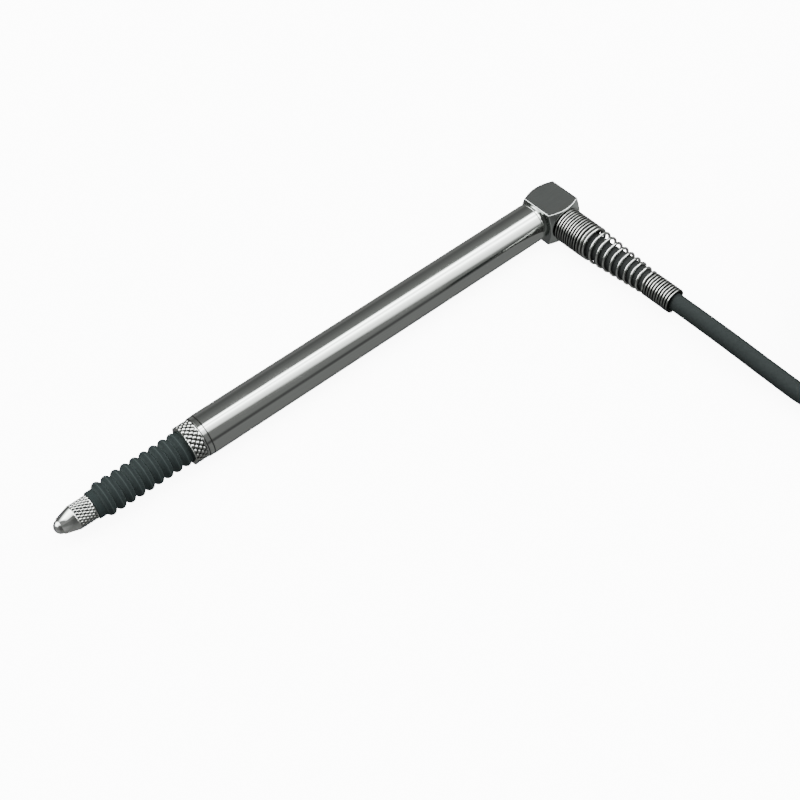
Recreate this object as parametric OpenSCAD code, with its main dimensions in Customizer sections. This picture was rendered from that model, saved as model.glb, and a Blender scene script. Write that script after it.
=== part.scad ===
// Grating displacement sensor: a pencil probe whose sprung plunger carries a glass scale
// past a reading head. The probe's axis is X, with the contact ball at the -X end.
// The cable leaves the elbow towards -Y, and Z is up.
// The origin is on the probe's axis, half way along the clamping shank. Lengths are in mm.

/* [Shank] */
// Diameter of the clamping shank
shank_d = 8; // [7.8:0.1:9]
// Length of the shank
shank_len = 79; // [78:1:110]
// Wall of the shank
shank_wall = 0.4; // [0.3:0.05:0.5]
// Chamfer on both outer edges of the shank
shank_chamfer = 0.12; // [0.05:0.01:0.2]

/* [Nose bush] */
// Diameter of the plain ring in front of the shank
ring_d = 7.9; // [7.5:0.1:8]
// Length of the plain ring
ring_len = 1; // [0.6:0.1:2]
// Length of the bush inside the shank
bush_len = 11; // [10.4:0.1:12]
// Bore of the bush, in which the guide balls roll
bush_bore_d = 4.6; // [4.4:0.1:4.8]
// Diameter of the spigot that the gaiter is clamped on
spigot_d = 4.9; // [4.6:0.1:5]
// Length of that spigot
spigot_len = 2.4; // [1.8:0.1:2.5]

/* [Knurled collar] */
// Diameter of the collar
collar_d = 7.7; // [7.4:0.1:7.8]
// Length of the collar
collar_len = 2.9; // [2.7:0.1:4]
// Bore of the collar
collar_bore_d = 6.4; // [6.2:0.1:6.4]
// Diamonds round the collar
collar_diamonds = 36; // [30:1:40]
// Depth of the diamond knurl
knurl_depth = 0.16; // [0.08:0.02:0.2]

/* [Gaiter] */
// Length that shows between the collar and the contact tip
gaiter_len = 19; // [18:0.5:24]
// Number of folds
gaiter_folds = 9; // [7:1:10]
// Diameter over the folds
gaiter_crest_d = 6.6; // [6.2:0.1:7]
// Diameter in the valleys, and of the plain cuff
gaiter_root_d = 5.3; // [5.1:0.1:5.5]
// Wall of the rubber
gaiter_wall = 0.35; // [0.25:0.05:0.45]
// Length of the plain cuff at the tip
gaiter_cuff_len = 1.2; // [0.8:0.1:2]

/* [Contact tip] */
// Diameter of the knurled part
tip_d = 4.75; // [4.5:0.05:5]
// Length of the knurled part
tip_knurl_len = 3.6; // [2.8:0.1:5]
// Length of the smooth cone
tip_cone_len = 2.7; // [2:0.1:4]
// Diameter where the cone ends
tip_end_d = 3; // [2.95:0.05:3.4]
// Diameter of the contact ball
ball_d = 2.8; // [2.4:0.1:2.8]
// Length of ball that stands out of the cone
ball_show = 1.2; // [0.8:0.1:1.3]
// Diamonds round the tip
tip_diamonds = 24; // [20:1:28]
// Length of the neck under the gaiter's cuff
tip_neck_len = 1.8; // [1.4:0.1:2.4]

/* [Plunger] */
// Travel of the plunger
stroke = 10; // [6:1:10]
// Diameter of the plunger
plunger_d = 3; // [2.8:0.1:3.2]
// Diameter of the thread that holds the tip
tip_thread_d = 2; // [1.8:0.1:2]
// Length of that thread
tip_thread_len = 4; // [3:0.5:6]
// Width of the stop ring
stop_ring_w = 1; // [0.8:0.1:1.2]
// Diameter of the stop ring
stop_ring_d = 5.8; // [5.4:0.1:6]
// Thickness of the rubber bumper that the ring rests on
bumper_t = 0.6; // [0.4:0.1:0.8]
// Diameter of the guide pin
pin_d = 1; // [0.8:0.1:1]
// Height of the guide pin above the axis
pin_top = 2.7; // [2.4:0.1:2.8]

/* [Ball guide] */
// Balls in each ring of the cage
balls_round = 6; // [4:1:6]
// Rings of balls
ball_rings = 3; // [2:1:3]
// Gap between the cage and what it runs in and on
cage_gap = 0.15; // [0.1:0.01:0.2]

/* [Guide sleeve] */
// Length of the guide sleeve
sleeve_len = 12; // [11.5:0.5:12.5]
// Distance from the sleeve's front to the guide pin at rest
pin_inset = 1.2; // [1:0.1:1.4]
// Gap between the sleeve and the reading head
sleeve_to_head = 18; // [17:0.5:18.5]

/* [Return spring] */
// Wire of the return spring
return_wire_d = 0.3; // [0.25:0.01:0.35]
// Diameter over the return spring
return_spring_d = 5.2; // [4.8:0.1:5.6]
// Turns of the return spring
return_turns = 10; // [8:1:11]

/* [Scale and reading head] */
// Length of the reading head
head_len = 7; // [6:0.5:7.5]
// Width of the window that the scale is read through
window_w = 3; // [2.4:0.1:3.6]
// Height of the window
window_h = 2.4; // [2:0.1:2.6]
// Thickness of the glass scale
scale_t = 0.5; // [0.4:0.05:0.6]
// Height of the glass scale
scale_h = 2.4; // [2:0.1:2.5]
// Length of glass held in the carrier
scale_grip = 3; // [2:0.5:3]
// Air on each side of the scale in the head
scale_air = 0.2; // [0.15:0.05:0.3]
// Thickness of the index grating
index_t = 0.45; // [0.3:0.05:0.5]
// Thickness of the detector chip
detector_t = 0.5; // [0.4:0.05:0.6]
// Diameter of the lamp
lamp_d = 1.8; // [1.6:0.1:2]
// Length of the signal board
board_len = 16; // [15:0.5:16]
// Thickness of the signal board
board_t = 0.6; // [0.5:0.05:0.8]
// Height of the signal board
board_h = 5.4; // [5:0.1:5.4]
// Height of the parts on the board
chip_t = 0.8; // [0.6:0.05:0.9]

/* [Elbow] */
// Width across the flats of the square block
block_w = 7.8; // [7.3:0.1:8.4]
// Length of the block along the cable
block_len = 9; // [8.6:0.1:10]
// Distance that the block is set towards the cable
block_shift = 0.6; // [0.2:0.1:0.8]
// Depth of the turned chamfer on each end, at the corners
block_turned = 1; // [0.6:0.1:1.2]
// Small chamfer along the block's edges
block_chamfer = 0.16; // [0.08:0.02:0.3]
// Width of the elbow's rim against the shank
rim_len = 0.5; // [0.3:0.1:0.8]
// Diameter of the neck between the rim and the block
neck_d = 6.9; // [6.6:0.1:7.2]
// Length of the neck
neck_len = 0.6; // [0.5:0.05:1.2]
// Length of the elbow's spigot inside the shank
elbow_spigot_len = 3.5; // [3:0.1:4]
// Bore of the elbow
elbow_bore_d = 5; // [4.6:0.1:5.2]
// Thickness of the seal ring
seal_d = 0.66; // [0.5:0.02:0.7]

/* [Cable exit] */
// Diameter of the cable
cable_d = 3.45; // [3.2:0.05:3.6]
// Diameter of the gland's seat in the block
gland_seat_d = 4.6; // [4.4:0.1:4.8]
// Length of the gland's spigot inside the spring
gland_spigot_len = 5; // [3:0.5:8]
// Distance of the gland's inner end from the probe's axis
gland_start = 2.6; // [2.4:0.1:3]
// Wire of the strain relief spring
strain_wire_d = 0.58; // [0.5:0.02:0.6]
// Diameter over the wide end of the spring
strain_wide_d = 7.05; // [6.8:0.05:7.2]
// Diameter over the narrow end of the spring
strain_narrow_d = 4.95; // [4.95:0.05:5.2]
// Gap between the close turns
strain_close_gap = 0.04; // [0.03:0.01:0.2]
// Close turns at the wide end
strain_wide_turns = 8.9; // [8:0.1:11]
// Open turns in the taper
strain_open_turns = 10.6; // [8:0.1:11]
// Spacing of the open turns
strain_open_pitch = 1.71; // [1.4:0.01:1.8]
// Close turns at the narrow end
strain_narrow_turns = 9.75; // [6:0.25:11]

/* [Coil and plug] */
// Radius of the middle turn of the cable's coil
coil_mid_r = 19.35; // [17:0.05:20]
// Turns side by side in the coil
coil_columns = 3; // [2:1:3]
// Turns on top of each other in the coil
coil_rows = 4; // [3:1:4]
// Thickness of the strap that ties the coil
tie_t = 0.5; // [0.3:0.1:0.8]
// Angle of coil that the strap covers
tie_angle = 18; // [10:1:30]
// Diameter of the plug's barrel
plug_d = 10; // [9:0.5:10]
// Length of the plug's barrel
plug_barrel_len = 16; // [12:1:20]
// Length of the plug's cable boot
plug_boot_len = 11; // [8:1:14]
// Diameter of the plug's front sleeve
plug_sleeve_d = 6.8; // [6.6:0.1:7]
// Diameter of the coupling nut
nut_d = 10.6; // [10.4:0.1:11]
// Length of the coupling nut
nut_len = 13; // [12:0.5:15]
// Ribs round the coupling nut
nut_ribs = 36; // [24:1:48]
// Contact pins in the plug
plug_pin_count = 7; // [5:1:8]

/* [Hidden] */
round_fn = 96;
small_fn = 48;

// Clearances: a fit that is pressed or glued, and one that runs
fit = 0.02;
run = 0.05;
overcut = 1;

// Radii of the shank and of what fits in it
shank_r = shank_d / 2;
bore_r = shank_r - shank_wall;
insert_r = bore_r - fit;
plunger_r = plunger_d / 2;
floor_z = -shank_r;

// Places along the probe's axis, from the shank to the contact ball
shank_front = -shank_len / 2;
shank_rear = shank_len / 2;
ring_front = shank_front - ring_len;
collar_front = ring_front - collar_len;
collar_lip = 0.3;
gaiter_front = collar_front - gaiter_len;
tip_cone_start = gaiter_front - tip_knurl_len;
tip_cone_end = tip_cone_start - tip_cone_len;
ball_r = ball_d / 2;
ball_x = tip_cone_end - ball_show + ball_r;
plunger_front = gaiter_front + tip_neck_len;

// Nose bush, ball guide and stop
bush_rear = shank_front + bush_len;
cage_start = shank_front + 0.3;
cage_end_gap = 0.3;
cage_x = cage_start + cage_end_gap;
cage_len = bush_rear - cage_start - stroke / 2 - 2 * cage_end_gap;
guide_ball_r = (bush_bore_d / 2 - plunger_r) / 2 - fit;
guide_ball_ring_r = (bush_bore_d / 2 + plunger_r) / 2;
wiper_r = plunger_r + 2 * run;
stop_gap = 0.1;
stop_ring_x = bush_rear + bumper_t + stop_gap;
spring_front = stop_ring_x + stop_ring_w;

// Elbow, signal board and reading head, placed from the rear of the shank
elbow_spigot_x = shank_rear - elbow_spigot_len;
block_x = shank_rear + rim_len + neck_len;
elbow_x = block_x + block_w / 2;
elbow_bore_r = elbow_bore_d / 2;
board_rear = elbow_spigot_x - 1;
board_x = board_rear - board_len;
head_x = board_x;
window_x = head_x + head_len / 2;
slot_y = scale_t / 2 + scale_air;
index_y = slot_y + index_t;
board_y = index_y + detector_t;

// Glass scale at rest: its rear end has just passed the window, with room for the whole travel
scale_margin = 0.5;
carrier_gap = 0.5;
scale_rear = window_x + window_w / 2 + scale_margin;
scale_len = stroke + window_w / 2 + scale_margin + head_len / 2 + carrier_gap + scale_grip;
scale_front = scale_rear - scale_len;
carrier_rear = scale_front + scale_grip;
carrier_len = 6;
carrier_r = plunger_r - 0.05;
carrier_x = carrier_rear - carrier_len;
stud_r = 0.9;
stud_len = 2.4;

// Guide sleeve and pin
sleeve_x = head_x - sleeve_to_head - sleeve_len;
pin_x = sleeve_x + pin_inset;
pin_r = pin_d / 2;
slot_end = pin_x + stroke + pin_r + 0.3;

// Cable exit
gland_face = block_len / 2 + block_shift;
cable_r = cable_d / 2;
strain_pitch = strain_wire_d + strain_close_gap;
strain_wide_r = (strain_wide_d - strain_wire_d) / 2;
strain_narrow_r = (strain_narrow_d - strain_wire_d) / 2;
strain_start = gland_face + strain_wire_d / 2 + run;
strain_sides = 6;
// The first open turn and the last few are wound closer than the rest, by these shares
strain_ease_turns = 1;
strain_ease_share = 0.76;
strain_tight_turns = 3.6;
strain_tight_share = 0.87;
strain_drop = (strain_wide_r - strain_narrow_r) / strain_open_turns;
strain_eased_r = strain_wide_r - strain_drop * strain_ease_turns;
strain_tight_r = strain_narrow_r + strain_drop * strain_tight_turns;
strain_full_turns = strain_open_turns - strain_ease_turns - strain_tight_turns;
strain_segments = 14;
chord_loss = 1 - cos(180 / strain_segments);
gland_spigot_r = strain_wide_r * (1 - chord_loss) - strain_wire_d / 2 - fit;

// Coil of cable on the floor, and the plug that lies on it
coil_z = floor_z + tie_t + fit;
coil_half_w = coil_columns * cable_d / 2;
coil_outer_r = coil_mid_r + coil_half_w;
coil_h = coil_rows * cable_d;
coil_top = coil_z + coil_h;
coil_side = 6;
coil_x = elbow_x + coil_outer_r + coil_side;
coil_y = -72;
lay_z = coil_z + cable_r;
tail_z = coil_top + cable_r;
plug_x = coil_x + 14.5;
plug_y = coil_y - 4;
plug_z = coil_top + nut_d / 2 + 2 * run;
plug_r = plug_d / 2;
sleeve_r = plug_sleeve_d / 2;
plug_wall = 0.45;
flange_start = 4;
flange_w = 1;
flange_r = sleeve_r + 0.7;
sleeve_end = 12;

// Route of the cable from the gland to the coil: distances from the elbow's axis, and share of the
// way down to the floor. The cable runs straight on, then bends round to the coil's outer turn.
cable_route = [
    for (p = [[0, 12, 0], [0, 24, 0], [0, 34, 0], [0, 42, 0.03], [0, 50, 0.14], [0.05, 58, 0.36],
        [0.5, 66, 0.64], [2.8, 74, 0.9], [6.3, 80.5, 1], [11.4, 86.5, 1]])
        [elbow_x + p[0], -p[1], lay_z * p[2]]
];

// Route of the cable over the coil to the plug, from the coil's centre, and share of the way
// from the level above the top turns to the plug
tail_route = [[-14.04, -17.96, 0], [-9.6, -20.5, 0.03], [-4.6, -21.6, 0.1], [0.5, -21.4, 0.25],
    [6.1, -20, 0.47], [11.1, -16.2, 0.72], [13.9, -11, 0.92]];

// Route of the wires inside the elbow: x from the elbow's centre, and y
wire_r = 0.24;
wire_pitch = 0.6;
wire_route = [[-6, 0.95], [-4.2, 0.75], [-2.6, 0.2], [-1.2, -0.6], [-0.3, -1.4], [0, -2]];

// A body of revolution about the probe's axis, from points [radius, x]
module turned(points, fn = round_fn) {
    rotate([0, 90, 0]) rotate_extrude($fn = fn) polygon(points);
}

// A body of revolution about the cable's exit, from points [radius, distance from the axis]
module turned_out(points, fn = round_fn) {
    translate([elbow_x, 0, 0]) rotate([90, 0, 0]) rotate_extrude($fn = fn) polygon(points);
}

// A plain ring along the probe's axis
module ring(inner_r, outer_r, x, len, fn = round_fn) {
    turned([[inner_r, x], [outer_r, x], [outer_r, x + len], [inner_r, x + len]], fn);
}

// Triangles between rings of points: each square is split along the line that is low in a knurl
function grid_faces(rings, cols, closed) = [
    for (i = [0 : rings - (closed ? 1 : 2)], j = [0 : cols - 1], half = [0, 1])
        let (a = i * cols, b = (i + 1) % rings * cols, k = (j + 1) % cols)
            (i + j) % 2 == 0
                ? (half == 0 ? [a + j, b + j, b + k] : [a + j, b + k, a + k])
                : (half == 0 ? [a + j, b + j, a + k] : [b + j, b + k, a + k])
];

// A solid through rings of points, with a flat face at each end unless the rings close on themselves
module skin(points, cols, closed = false) {
    rings = len(points) / cols;
    front = [for (j = [0 : cols - 1]) j];
    rear = [for (j = [cols - 1 : -1 : 0]) (rings - 1) * cols + j];
    walls = grid_faces(rings, cols, closed);
    polyhedron(points = points, faces = closed ? walls : concat([front], walls, [rear]), convexity = 10);
}

// A turned and knurled solid about X. A row is [x, radius, depth of the knurl there].
// Every other point of a row is sunk by the depth, and the next row is shifted by one.
module knurled(rows, diamonds, closed = false) {
    cols = 2 * diamonds;
    points = [
        for (i = [0 : len(rows) - 1], j = [0 : cols - 1])
            let (r = rows[i][1] - ((i + j) % 2 == 0 ? rows[i][2] : 0), a = j * 360 / cols)
                [rows[i][0], r * cos(a), r * sin(a)]
    ];
    skin(points, cols, closed);
}

// Rows of a diamond knurl from one x to the other
function knurl_rows(x0, x1, r, diamonds) =
    let (count = round((x1 - x0) * diamonds / (PI * r)))
        [for (i = [1 : count - 1]) [x0 + (x1 - x0) * i / count, r, knurl_depth]];

// A wire wound about Z. A stretch is [turns, spacing, radius at its start, radius at its end].
function wound_height(s, stretches, i = 0) =
    i == len(stretches) - 1 || s <= stretches[i][0]
        ? s * stretches[i][1]
        : stretches[i][0] * stretches[i][1] + wound_height(s - stretches[i][0], stretches, i + 1);

function wound_radius(s, stretches, i = 0) =
    i == len(stretches) - 1 || s <= stretches[i][0]
        ? stretches[i][2] + (stretches[i][3] - stretches[i][2]) * s / stretches[i][0]
        : wound_radius(s - stretches[i][0], stretches, i + 1);

function total_turns(stretches) = [for (s = stretches) s[0]] * [for (s = stretches) 1];

module wound_wire(stretches, wire_r, segments, sides) {
    steps = round(total_turns(stretches) * segments);
    points = [
        for (i = [0 : steps], j = [0 : sides - 1])
            let (s = i / segments, a = 360 * j / sides, r = wound_radius(s, stretches) + wire_r * cos(a))
                [r * cos(360 * s), r * sin(360 * s), wound_height(s, stretches) - wire_r * sin(a)]
    ];
    skin(points, sides);
}

// A tube swept along a route that is never upright
function unit(v) = v / norm(v);

module swept_tube(route, tube_r, sides) {
    last = len(route) - 1;
    points = [
        for (i = [0 : last])
            let (t = unit(route[min(i + 1, last)] - route[max(i - 1, 0)]),
                e1 = unit(cross([0, 0, 1], t)))
                for (j = [0 : sides - 1])
                    let (a = 360 * (j + 0.5) / sides)
                        route[i] + tube_r * (cos(a) * e1 + sin(a) * cross(t, e1))
    ];
    skin(points, sides);
}

// A box from its lowest corner to its highest
module block(low, high) {
    translate(low) cube(high - low);
}

module contact_ball() {
    color("gainsboro") translate([ball_x, 0, 0]) sphere(r = ball_r, $fn = round_fn);
}

// The holder that the ball is pressed into, in one piece with its knurled grip, neck and thread
module contact_tip() {
    r = tip_d / 2;
    neck_r = gaiter_root_d / 2 - gaiter_wall - run;
    thread_r = tip_thread_d / 2 - fit;
    cup_r = ball_r + fit;
    color("silver") knurled(
        concat(
            [[ball_x + ball_r, cup_r * 0.3, 0], [ball_x + ball_r * 0.6, cup_r, 0], [tip_cone_end, cup_r, 0],
                [tip_cone_end, tip_end_d / 2, 0], [tip_cone_start, r - knurl_depth / 2, 0]],
            knurl_rows(tip_cone_start, gaiter_front - 0.1, r, tip_diamonds),
            [[gaiter_front - 0.1, r, 0], [gaiter_front, r - 0.1, 0], [gaiter_front, neck_r, 0],
                [plunger_front, neck_r, 0], [plunger_front, thread_r, 0],
                [plunger_front + tip_thread_len, thread_r, 0]]
        ),
        tip_diamonds
    );
}

module plunger() {
    thread_r = tip_thread_d / 2;
    thread_end = plunger_front + tip_thread_len + 0.5;
    chamfer = 0.2;
    color("lightgray") difference() {
        turned([[thread_r, plunger_front], [plunger_r - chamfer, plunger_front],
            [plunger_r, plunger_front + chamfer], [plunger_r, carrier_x], [stud_r, carrier_x],
            [stud_r, carrier_x + stud_len], [0, carrier_x + stud_len], [0, thread_end + thread_r / 2],
            [thread_r, thread_end]]);
        translate([pin_x, 0, 0])
            cylinder(r = pin_r + fit, h = 4 * plunger_r, center = true, $fn = small_fn);
    }
}

module stop_ring() {
    color("darkgoldenrod") ring(plunger_r + fit, stop_ring_d / 2, stop_ring_x, stop_ring_w);
}

module guide_pin() {
    foot = plunger_r - 0.2;
    color("gainsboro") translate([pin_x, 0, -foot])
        cylinder(r = pin_r, h = pin_top + foot, $fn = small_fn);
}

// Rod end that the plunger's stud and the glass are glued into
module scale_carrier() {
    color("darkgoldenrod") difference() {
        ring(0, carrier_r, carrier_x, carrier_len);
        ring(0, stud_r + fit, carrier_x - overcut, stud_len + overcut + fit);
        block([scale_front - fit, -scale_t / 2 - fit, -carrier_r - overcut],
            [carrier_rear + overcut, scale_t / 2 + fit, carrier_r + overcut]);
    }
}

module glass_scale() {
    color("lightcyan", 0.6) block([scale_front, -scale_t / 2, -scale_h / 2],
        [scale_rear, scale_t / 2, scale_h / 2]);
}

// Places of the guide balls: every other ring is turned by half a step
module at_guide_balls() {
    for (i = [0 : ball_rings - 1], j = [0 : balls_round - 1])
        translate([cage_x + cage_len * (i + 0.5) / ball_rings, 0, 0])
            rotate([360 * (j + i % 2 / 2) / balls_round, 0, 0])
                children();
}

module ball_cage() {
    color("goldenrod") difference() {
        ring(plunger_r + cage_gap, bush_bore_d / 2 - cage_gap, cage_x, cage_len);
        at_guide_balls() cylinder(r = guide_ball_r + run, h = bush_bore_d, $fn = small_fn);
    }
}

module guide_balls() {
    color("gainsboro") at_guide_balls() translate([0, 0, guide_ball_ring_r])
        sphere(r = guide_ball_r, $fn = small_fn);
}

module body_tube() {
    c = shank_chamfer;
    color("silver") turned([[bore_r, shank_front], [shank_r - c, shank_front], [shank_r, shank_front + c],
        [shank_r, shank_rear - c], [shank_r - c, shank_rear], [bore_r, shank_rear]]);
}

// Bush, plain ring and gaiter spigot, turned in one piece
module nose_bush() {
    r = ring_d / 2;
    c = shank_chamfer;
    spigot_r = spigot_d / 2;
    color("silver") turned([[wiper_r, ring_front - spigot_len], [spigot_r - c, ring_front - spigot_len],
        [spigot_r, ring_front - spigot_len + c], [spigot_r, ring_front], [r - c, ring_front],
        [r, ring_front + c], [r, shank_front - c], [r - c, shank_front], [insert_r, shank_front],
        [insert_r, bush_rear], [bush_bore_d / 2, bush_rear], [bush_bore_d / 2, cage_start],
        [wiper_r, cage_start]]);
}

module knurled_collar() {
    r = collar_d / 2;
    inner_r = collar_bore_d / 2;
    color("silver") knurled(
        concat(
            [[collar_front, inner_r, 0], [collar_front, r - collar_lip, 0],
                [collar_front + collar_lip * 0.3, r - collar_lip * 0.4, 0]],
            knurl_rows(collar_front + collar_lip * 0.3, ring_front - 0.15, r, collar_diamonds),
            [[ring_front - 0.15, r, 0], [ring_front, r - 0.1, 0], [ring_front, inner_r, 0]]
        ),
        collar_diamonds, closed = true
    );
}

// Bellows of rubber: straight flanks, rounded crests and sharp valleys, a cuff over the tip's neck and
// one in the collar. The last fold stays at its crest up to the collar.
module gaiter() {
    steps = 8;
    root_r = gaiter_root_d / 2;
    crest_r = gaiter_crest_d / 2;
    folds_front = gaiter_front + gaiter_cuff_len;
    folds_rear = collar_front - 0.2;
    pitch = (folds_rear - folds_front) / gaiter_folds;
    tuck_r = collar_bore_d / 2 - fit;
    hold_r = spigot_d / 2 + fit;
    tuck_end = ring_front - fit;
    crest_round = 0.25;
    flank = sqrt(1 + crest_round * crest_round) - crest_round;
    folds = [
        for (i = [0 : gaiter_folds * steps - steps / 2])
            let (
                off = abs(2 * (i % steps) / steps - 1),
                sunk = (sqrt(off * off + crest_round * crest_round) - crest_round) / flank
            )
                [crest_r - (crest_r - root_r) * sunk, folds_front + pitch * i / steps]
    ];
    outer = concat([[root_r, gaiter_front + fit]], folds,
        [[crest_r, collar_front - fit], [tuck_r, collar_front - fit], [tuck_r, tuck_end]]);
    inner = concat([[hold_r, tuck_end], [hold_r, ring_front - spigot_len],
            [crest_r - gaiter_wall, collar_front + 0.1]],
        [for (i = [len(folds) - 1 : -1 : 0]) folds[i] - [gaiter_wall, 0]],
        [[root_r - gaiter_wall, gaiter_front + fit]]);
    color("darkslategray") turned(concat(outer, inner));
}

module stop_bumper() {
    color("dimgray") ring(wiper_r + 0.1, insert_r, bush_rear, bumper_t);
}

// Sleeve whose slot keeps the guide pin, and so the scale, from turning
module guide_sleeve() {
    w = pin_r + run;
    color("darkgoldenrod") difference() {
        ring(plunger_r + run, insert_r, sleeve_x, sleeve_len);
        block([sleeve_x - overcut, -w, 0], [slot_end, w, pin_top + 0.2]);
    }
}

module return_spring() {
    r = (return_spring_d - return_wire_d) / 2;
    wire_r = return_wire_d / 2;
    height = sleeve_x - spring_front - return_wire_d - 2 * fit;
    end_pitch = return_wire_d + run;
    open_turns = return_turns - 2;
    open_pitch = (height - 2 * end_pitch) / open_turns;
    color("gray") translate([spring_front + wire_r + fit, 0, 0]) rotate([0, 90, 0])
        wound_wire([[1, end_pitch, r, r], [open_turns, open_pitch, r, r], [1, end_pitch, r, r]],
            wire_r, 12, 5);
}

// Frame that holds the lamp on one side of the scale, and the grating and detector on the other
module reading_head() {
    half_w = window_w / 2 + fit;
    half_h = window_h / 2 + fit;
    scale_half_h = scale_h / 2 + scale_air;
    color("dimgray") difference() {
        ring(0, insert_r, head_x, head_len);
        block([head_x - overcut, -slot_y, -scale_half_h],
            [head_x + head_len + overcut, slot_y, scale_half_h]);
        block([head_x - overcut, board_y, -bore_r], [head_x + head_len + overcut, bore_r, bore_r]);
        block([window_x - half_w, 0, -half_h], [window_x + half_w, board_y + overcut, half_h]);
        translate([window_x, 0, 0]) rotate([90, 0, 0])
            cylinder(r = lamp_d / 2 + fit, h = bore_r, $fn = small_fn);
    }
}

module index_grating() {
    color("lightcyan", 0.6) block([window_x - window_w / 2, slot_y, -window_h / 2],
        [window_x + window_w / 2, index_y, window_h / 2]);
}

module detector_chip() {
    w = window_w / 2 - 0.2;
    h = window_h / 2 - 0.2;
    color("darkslateblue") block([window_x - w, index_y, -h], [window_x + w, board_y, h]);
}

// Lamp with a domed lens, glued in the head
module lamp() {
    r = lamp_d / 2;
    dome = slot_y + 0.25;
    foot = bore_r - 0.45;
    color("white") translate([window_x, 0, 0]) rotate([90, 0, 0]) union() {
        translate([0, 0, dome + r]) cylinder(r = r, h = foot - dome - r, $fn = small_fn);
        intersection() {
            translate([0, 0, dome + r]) sphere(r = r, $fn = small_fn);
            cylinder(r = r, h = dome + r + 0.1, $fn = small_fn);
        }
    }
}

module signal_board() {
    color("seagreen") block([board_x, board_y, -board_h / 2],
        [board_rear, board_y + board_t, board_h / 2]);
}

// Amplifier, interpolator and small parts, soldered on the board's outer face
module board_chips() {
    y0 = board_y + board_t;
    color("black") {
        block([board_x + 1.2, y0, -1.4], [board_x + 4.8, y0 + chip_t, 1.4]);
        block([board_x + 6.4, y0, -1.5], [board_x + 10, y0 + chip_t, 1.5]);
        for (i = [0 : 3])
            block([board_x + 11, y0, -1.7 + i * 1], [board_x + 12, y0 + chip_t / 2, -1.2 + i * 1]);
    }
}

// Wires from the board's rear edge round the elbow to the end of the cable
module core_wires() {
    start = [for (x = [board_rear - 0.9, elbow_spigot_x + 0.5]) [x, board_y - wire_r - fit]];
    bend = [for (p = wire_route) [elbow_x + p[0], p[1]]];
    route = concat(start, bend, [[elbow_x, -gland_start + fit]]);
    color("firebrick") for (k = [-1.5 : 1 : 1.5])
        swept_tube([for (p = route) [p[0], p[1], k * wire_pitch]], wire_r, 6);
}

module tube_seal() {
    color("dimgray") rotate([0, 90, 0]) rotate_extrude($fn = round_fn)
        translate([bore_r - seal_d / 2 - fit / 2, elbow_spigot_x + elbow_spigot_len / 2])
            circle(d = seal_d, $fn = 24);
}

// Square block with turned ends, in one piece with its neck, rim and spigot
module elbow_block() {
    half = block_w / 2;
    c = block_chamfer;
    corner_r = half * sqrt(2);
    rim_r = shank_r - 0.05;
    neck_r = neck_d / 2;
    groove_x = elbow_spigot_x + elbow_spigot_len / 2;
    groove_r = bore_r - seal_d - fit;
    near = -block_len / 2 + block_shift;
    square_bar = [[-half + c, -half], [half - c, -half], [half, -half + c], [half, half - c],
        [half - c, half], [-half + c, half], [-half, half - c], [-half, -half + c]];
    color("dimgray") difference() {
        union() {
            intersection() {
                translate([elbow_x, -near, 0]) rotate([90, 0, 0])
                    linear_extrude(height = block_len) polygon(square_bar);
                turned_out([[0, near], [half - c, near], [half + c, near + c],
                    [corner_r, near + block_turned], [corner_r, gland_face - block_turned],
                    [half + c, gland_face - c],
                    [half - c, gland_face], [0, gland_face]]);
            }
            turned([[0, elbow_spigot_x], [insert_r, elbow_spigot_x], [insert_r, shank_rear],
                [rim_r - shank_chamfer, shank_rear], [rim_r, shank_rear + shank_chamfer],
                [rim_r, shank_rear + rim_len], [neck_r, shank_rear + rim_len], [neck_r, elbow_x],
                [0, elbow_x]]);
        }
        ring(groove_r, bore_r + overcut, groove_x - seal_d * 0.6, seal_d * 1.2);
        turned([[0, elbow_spigot_x - overcut], [elbow_bore_r, elbow_spigot_x - overcut],
            [elbow_bore_r, elbow_x + 1], [0, elbow_x + 1 + elbow_bore_r * 0.6]]);
        turned_out([[0, 0], [gland_seat_d / 2, 0], [gland_seat_d / 2, gland_face + overcut],
            [0, gland_face + overcut]]);
    }
}

// Ferrule that is pressed into the block, carries the spring and holds the cable
module cable_gland() {
    hole_r = cable_r + fit;
    seat_r = gland_seat_d / 2 - fit;
    tip = gland_face + gland_spigot_len;
    color("silver") turned_out([[hole_r, gland_start], [seat_r, gland_start], [seat_r, gland_face],
        [gland_spigot_r, gland_face], [gland_spigot_r, tip - 0.4], [gland_spigot_r - 0.4, tip],
        [hole_r, tip]]);
}

// Strain relief: close turns on the gland, open turns that taper, close turns on the cable
module strain_spring() {
    color("gray") translate([elbow_x, -strain_start, 0]) rotate([90, 0, 0])
        wound_wire([[strain_wide_turns, strain_pitch, strain_wide_r, strain_wide_r],
            [strain_ease_turns, strain_ease_share * strain_open_pitch, strain_wide_r, strain_eased_r],
            [strain_full_turns, strain_open_pitch, strain_eased_r, strain_tight_r],
            [strain_tight_turns, strain_tight_share * strain_open_pitch, strain_tight_r, strain_narrow_r],
            [strain_narrow_turns, strain_pitch, strain_narrow_r, strain_narrow_r]],
            strain_wire_d / 2, strain_segments, strain_sides);
}

module cable() {
    color("darkslategray") swept_tube(concat([[elbow_x, -gland_start, 0]], cable_route), cable_r, 8);
}

// Outer shape of the coiled turns
module cable_coil() {
    inner_r = coil_mid_r - coil_half_w;
    color("darkslategray") translate([coil_x, coil_y, 0]) rotate_extrude($fn = round_fn)
        polygon([[inner_r, coil_z], [coil_outer_r, coil_z], [coil_outer_r, coil_top],
            [inner_r, coil_top]]);
}

module cable_tail() {
    rise = plug_z - tail_z;
    route = concat([for (p = tail_route) [coil_x + p[0], coil_y + p[1], tail_z + rise * p[2]]],
        [[plug_x, plug_y, plug_z]]);
    color("darkslategray") swept_tube(route, cable_r, 8);
}

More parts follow.
